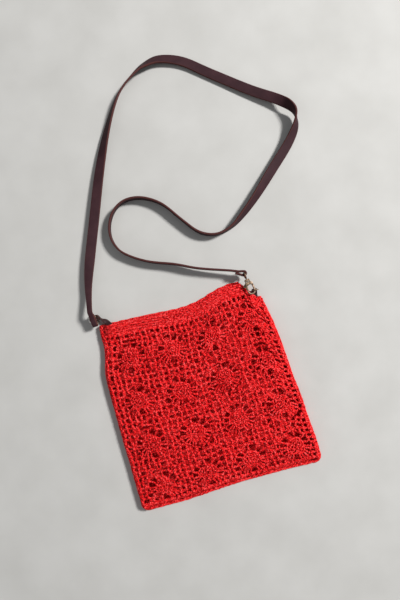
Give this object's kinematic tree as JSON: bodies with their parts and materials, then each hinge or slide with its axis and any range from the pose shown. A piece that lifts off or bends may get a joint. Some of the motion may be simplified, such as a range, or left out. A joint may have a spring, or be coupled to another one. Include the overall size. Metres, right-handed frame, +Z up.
{
  "type": "crochet shoulder bag",
  "caption": "Small lace crochet pouch with an open mouth and a long leather shoulder strap, held at one corner by a swivel clasp, lying flat",
  "frame": {"origin": "middle of the pouch's flat underside", "axes": "+Z up through the lying bag, +Y from the bag's bottom to its mouth, +X to the right across the front"},
  "size_m": [0.3123, 0.5433, 0.0197],
  "materials": {
    "yarn": "bright red matt cotton yarn",
    "strap_leather": "burgundy brown, low sheen",
    "tab_leather": "dark brown, low sheen",
    "antique_brass": "antique brass, worn bright on its edges"
  },
  "bodies": {
    "bag": {"front_panel": "yarn", "back_panel": "yarn", "side_gusset": "yarn", "top_band": "yarn", "strap": "strap_leather", "tab_left": "tab_leather", "tab_right": "tab_leather", "ring_left": "antique_brass", "ring_right": "antique_brass", "link_left": "antique_brass", "swivel_eye": "antique_brass"},
    "clasp": {"clasp_body": "antique_brass"},
    "lever": {"clasp_lever": "antique_brass"}
  },
  "joints": [
    {"name": "clasp_swivel", "type": "hinge", "parent": "bag", "child": "clasp", "pos_m": [0.08198, 0.12724, 0.01261], "axis": [-0.1736, 0.9848, 0], "range_deg": [-15, 15]},
    {"name": "lever_hinge", "type": "hinge", "parent": "clasp", "child": "lever", "pos_m": [0.07994, 0.12038, 0.01261], "axis": [0, 0, 1], "range_deg": [0, 30], "stiffness_Nm_per_rad": 0.002, "springref_deg": -20.05}
  ]
}
